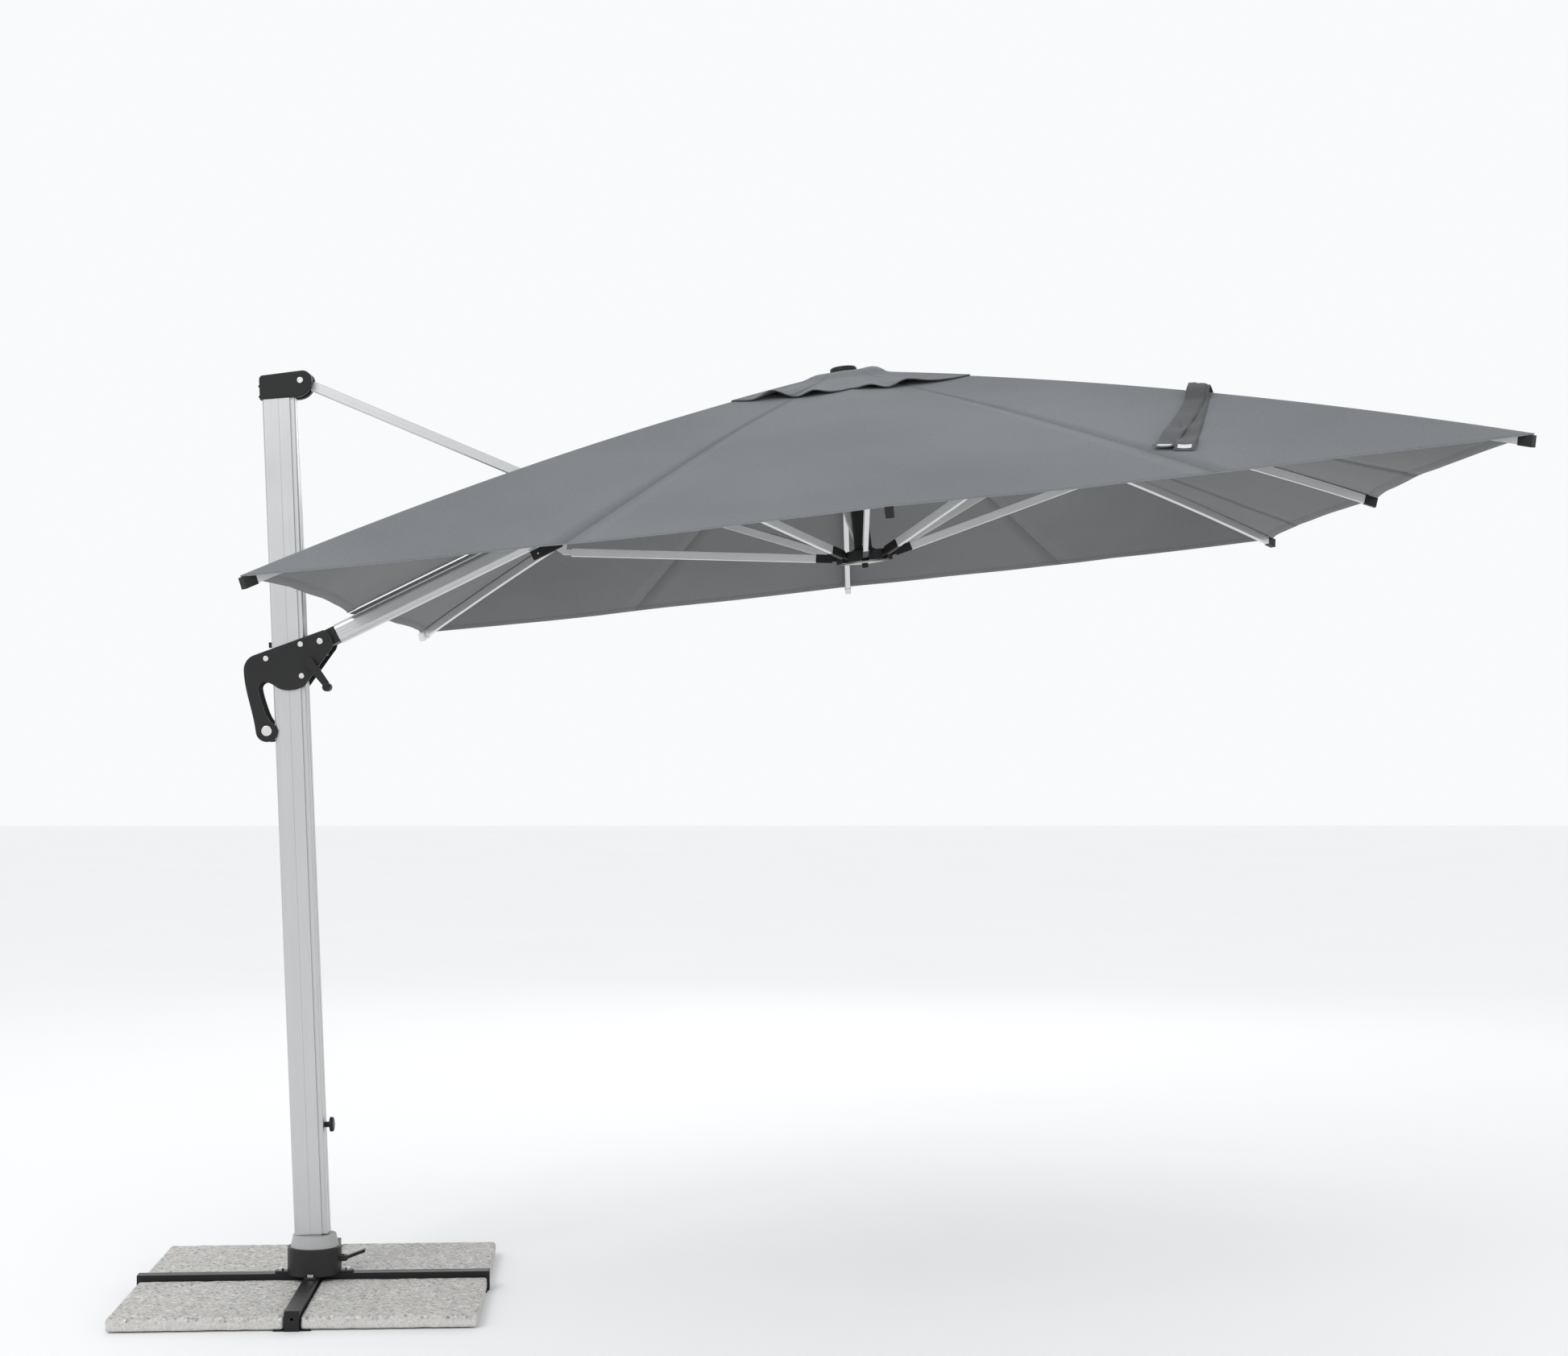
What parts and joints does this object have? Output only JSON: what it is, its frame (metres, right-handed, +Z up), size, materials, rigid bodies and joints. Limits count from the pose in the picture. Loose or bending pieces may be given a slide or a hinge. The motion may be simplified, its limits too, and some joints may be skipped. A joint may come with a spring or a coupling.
{
  "type": "cantilever parasol",
  "caption": "Square tilting cantilever parasol: leaning mast on a slab-weighted swivel cross, crank slider, sloping arm, folding ribs and panelled canopy.",
  "frame": {"origin": "on the floor, on the vertical axis the mast swivels about, at the underside of the base cross", "axes": "+Z up, +X from the mast towards the canopy, +Y to the far side"},
  "size_m": [3.5966, 3.0118, 2.667],
  "materials": {
    "black_steel": "satin",
    "concrete": "matte",
    "black_plastic": "satin",
    "cast_black": "satin",
    "silver_aluminium": "satin",
    "grey_foot": "satin",
    "bright_steel": "satin",
    "nylon": "satin",
    "canopy_fabric": "matte"
  },
  "bodies": {
    "base": {"base_cross": "black_steel", "cross_end_caps": "black_plastic", "slab_front_left": "concrete", "slab_front_right": "concrete", "slab_back_left": "concrete", "slab_back_right": "concrete", "base_collar": "black_steel", "collar_bolts": "bright_steel", "swivel_spigot": "bright_steel"},
    "lock_lever_link": {"lock_lever": "black_plastic"},
    "mast": {"mast_foot": "grey_foot", "mast_tube": "silver_aluminium", "mast_cap": "black_plastic", "cap_pins": "bright_steel", "mast_stud": "black_plastic", "mast_stop": "black_plastic"},
    "slider": {"slider_plate_near": "cast_black", "slider_plate_far": "cast_black", "slider_pins": "bright_steel", "guide_pads": "nylon", "grip_bar": "black_plastic"},
    "roller_link": {"back_roller": "nylon"},
    "crank_link": {"winch_drum": "bright_steel", "crank_arm": "cast_black"},
    "knob_link": {"crank_knob": "black_plastic"},
    "arm": {"arm_tube": "silver_aluminium", "arm_fork": "cast_black", "strut_bracket": "cast_black", "strut_bolt": "bright_steel", "crown_hub": "cast_black", "crown_pins": "bright_steel", "crown_cap": "black_plastic", "crown_post": "black_plastic"},
    "strut": {"strut_tube": "silver_aluminium", "strut_ends": "black_plastic"},
    "runner": {"runner_hub": "black_plastic", "runner_plate": "bright_steel"},
    "rib_right_link": {"rib_right": "silver_aluminium", "canopy_right": "canopy_fabric"},
    "stretcher_right_link": {"stretcher_right": "silver_aluminium"},
    "rib_back_right_link": {"rib_back_right": "silver_aluminium", "canopy_back_right": "canopy_fabric"},
    "stretcher_back_right_link": {"stretcher_back_right": "silver_aluminium"},
    "rib_back_link": {"rib_back": "silver_aluminium", "canopy_back": "canopy_fabric"},
    "stretcher_back_link": {"stretcher_back": "silver_aluminium"},
    "rib_back_left_link": {"rib_back_left": "silver_aluminium", "canopy_back_left": "canopy_fabric"},
    "stretcher_back_left_link": {"stretcher_back_left": "silver_aluminium"},
    "rib_front_left_link": {"rib_front_left": "silver_aluminium", "canopy_front_left": "canopy_fabric"},
    "stretcher_front_left_link": {"stretcher_front_left": "silver_aluminium"},
    "rib_front_link": {"rib_front": "silver_aluminium", "canopy_front": "canopy_fabric"},
    "stretcher_front_link": {"stretcher_front": "silver_aluminium"},
    "rib_front_right_link": {"rib_front_right": "silver_aluminium", "canopy_front_right": "canopy_fabric"},
    "stretcher_front_right_link": {"stretcher_front_right": "silver_aluminium"},
    "rib_arm_side_link": {"rib_arm_side": "silver_aluminium"},
    "stretcher_arm_side_link": {"stretcher_arm_side": "silver_aluminium"}
  },
  "joints": [
    {"name": "mast_swivel", "type": "hinge", "parent": "base", "child": "mast", "pos_m": [0, 0, 0.131], "axis": [0, 0, 1], "continuous": true},
    {"name": "lock_lever_turn", "type": "hinge", "parent": "base", "child": "lock_lever_link", "pos_m": [0.08786, 0.0049, 0.095], "axis": [-0.0556, 0.9985, 0], "range_deg": [0, 25]},
    {"name": "slider_travel", "type": "slide", "parent": "mast", "child": "slider", "axis": [0.0438, 0, -0.999], "range_m": [0, 0.69]},
    {"name": "arm_pivot", "type": "hinge", "parent": "slider", "child": "arm", "pos_m": [0.01405, 0, 1.86597], "axis": [0, -1, 0], "range_deg": [0, 30.84]},
    {"name": "strut_pivot", "type": "hinge", "parent": "arm", "child": "strut", "pos_m": [0.76042, 0, 2.27978], "axis": [0, 1, 0], "range_deg": [0, 61.62]},
    {"name": "back_roller_spin", "type": "hinge", "parent": "slider", "child": "roller_link", "pos_m": [-0.1406, 0, 1.81565], "axis": [0, -1, 0], "range_deg": [0, 2636.61]},
    {"name": "crank_turn", "type": "hinge", "parent": "slider", "child": "crank_link", "pos_m": [-0.01275, 0, 1.80373], "axis": [0, -1, 0], "range_deg": [0, 5643.49]},
    {"name": "knob_spin", "type": "hinge", "parent": "crank_link", "child": "knob_link", "pos_m": [0.04161, 0, 1.73265], "axis": [0, 1, 0], "continuous": true},
    {"name": "canopy_close", "type": "slide", "parent": "arm", "child": "runner", "axis": [0.1101, 0, -0.9939], "range_m": [0, 1.231]},
    {"name": "rib_right_hinge", "type": "hinge", "parent": "arm", "child": "rib_right_link", "pos_m": [1.57863, 0, 2.62496], "axis": [0, 1, 0], "range_deg": [0, 63.08], "deforming": ["canopy_right"]},
    {"name": "stretcher_right_hinge", "type": "hinge", "parent": "rib_right_link", "child": "stretcher_right_link", "pos_m": [2.45168, 0, 2.41557], "axis": [0, -1, 0], "range_deg": [0, 132.74]},
    {"name": "rib_back_right_hinge", "type": "hinge", "parent": "arm", "child": "rib_back_right_link", "pos_m": [1.56262, 0.03889, 2.62319], "axis": [-0.7028, 0.7071, -0.0778], "range_deg": [0, 68.6], "deforming": ["canopy_back_right"]},
    {"name": "stretcher_back_right_hinge", "type": "hinge", "parent": "rib_back_right_link", "child": "stretcher_back_right_link", "pos_m": [2.17977, 0.63623, 2.47736], "axis": [0.7028, -0.7071, 0.0778], "range_deg": [0, 132.75]},
    {"name": "rib_back_hinge", "type": "hinge", "parent": "arm", "child": "rib_back_link", "pos_m": [1.52397, 0.055, 2.61891], "axis": [-0.9939, 0, -0.1101], "range_deg": [0, 63.08], "deforming": ["canopy_back"]},
    {"name": "stretcher_back_hinge", "type": "hinge", "parent": "rib_back_link", "child": "stretcher_back_link", "pos_m": [1.55746, 0.89969, 2.31653], "axis": [0.9939, 0, 0.1101], "range_deg": [0, 132.74]},
    {"name": "rib_back_left_hinge", "type": "hinge", "parent": "arm", "child": "rib_back_left_link", "pos_m": [1.48531, 0.03889, 2.61463], "axis": [-0.7028, -0.7071, -0.0778], "range_deg": [0, 68.6], "deforming": ["canopy_back_left"]},
    {"name": "stretcher_back_left_hinge", "type": "hinge", "parent": "rib_back_left_link", "child": "stretcher_back_left_link", "pos_m": [0.91504, 0.63623, 2.33729], "axis": [0.7028, 0.7071, 0.0778], "range_deg": [0, 132.75]},
    {"name": "rib_front_left_hinge", "type": "hinge", "parent": "arm", "child": "rib_front_left_link", "pos_m": [1.48531, -0.03889, 2.61463], "axis": [0.7028, -0.7071, 0.0778], "range_deg": [0, 68.6], "deforming": ["canopy_front_left"]},
    {"name": "stretcher_front_left_hinge", "type": "hinge", "parent": "rib_front_left_link", "child": "stretcher_front_left_link", "pos_m": [0.91504, -0.63623, 2.33729], "axis": [-0.7028, 0.7071, -0.0778], "range_deg": [0, 132.75]},
    {"name": "rib_front_hinge", "type": "hinge", "parent": "arm", "child": "rib_front_link", "pos_m": [1.52397, -0.055, 2.61891], "axis": [0.9939, 0, 0.1101], "range_deg": [0, 63.08], "deforming": ["canopy_front"]},
    {"name": "stretcher_front_hinge", "type": "hinge", "parent": "rib_front_link", "child": "stretcher_front_link", "pos_m": [1.55746, -0.89969, 2.31653], "axis": [-0.9939, 0, -0.1101], "range_deg": [0, 132.74]},
    {"name": "rib_front_right_hinge", "type": "hinge", "parent": "arm", "child": "rib_front_right_link", "pos_m": [1.56262, -0.03889, 2.62319], "axis": [0.7028, 0.7071, 0.0778], "range_deg": [0, 68.6], "deforming": ["canopy_front_right"]},
    {"name": "stretcher_front_right_hinge", "type": "hinge", "parent": "rib_front_right_link", "child": "stretcher_front_right_link", "pos_m": [2.17977, -0.63623, 2.47736], "axis": [-0.7028, -0.7071, -0.0778], "range_deg": [0, 132.75]},
    {"name": "rib_arm_side_hinge", "type": "hinge", "parent": "arm", "child": "rib_arm_side_link", "pos_m": [1.47789, 0, 2.53533], "axis": [0, -1, 0], "range_deg": [0, 62.91]},
    {"name": "stretcher_arm_side_hinge", "type": "hinge", "parent": "rib_arm_side_link", "child": "stretcher_arm_side_link", "pos_m": [0.71159, 0, 2.12509], "axis": [0, 1, 0], "range_deg": [0, 140.53]}
  ],
  "couplings": [
    {"joint": "arm_pivot", "follows": "slider_travel", "rad_per_m": 0.7797},
    {"joint": "strut_pivot", "follows": "slider_travel", "rad_per_m": 1.5581},
    {"joint": "back_roller_spin", "follows": "slider_travel", "rad_per_m": 66.667},
    {"joint": "crank_turn", "follows": "canopy_close", "rad_per_m": 80},
    {"joint": "rib_right_hinge", "follows": "canopy_close", "rad_per_m": 0.89412},
    {"joint": "stretcher_right_hinge", "follows": "canopy_close", "rad_per_m": 1.8817},
    {"joint": "rib_back_right_hinge", "follows": "canopy_close", "rad_per_m": 0.97232},
    {"joint": "stretcher_back_right_hinge", "follows": "canopy_close", "rad_per_m": 1.8818},
    {"joint": "rib_back_hinge", "follows": "canopy_close", "rad_per_m": 0.89412},
    {"joint": "stretcher_back_hinge", "follows": "canopy_close", "rad_per_m": 1.8817},
    {"joint": "rib_back_left_hinge", "follows": "canopy_close", "rad_per_m": 0.97232},
    {"joint": "stretcher_back_left_hinge", "follows": "canopy_close", "rad_per_m": 1.8818},
    {"joint": "rib_front_left_hinge", "follows": "canopy_close", "rad_per_m": 0.97232},
    {"joint": "stretcher_front_left_hinge", "follows": "canopy_close", "rad_per_m": 1.8818},
    {"joint": "rib_front_hinge", "follows": "canopy_close", "rad_per_m": 0.89412},
    {"joint": "stretcher_front_hinge", "follows": "canopy_close", "rad_per_m": 1.8817},
    {"joint": "rib_front_right_hinge", "follows": "canopy_close", "rad_per_m": 0.97232},
    {"joint": "stretcher_front_right_hinge", "follows": "canopy_close", "rad_per_m": 1.8818},
    {"joint": "rib_arm_side_hinge", "follows": "canopy_close", "rad_per_m": 0.89173},
    {"joint": "stretcher_arm_side_hinge", "follows": "canopy_close", "rad_per_m": 1.9922}
  ]
}
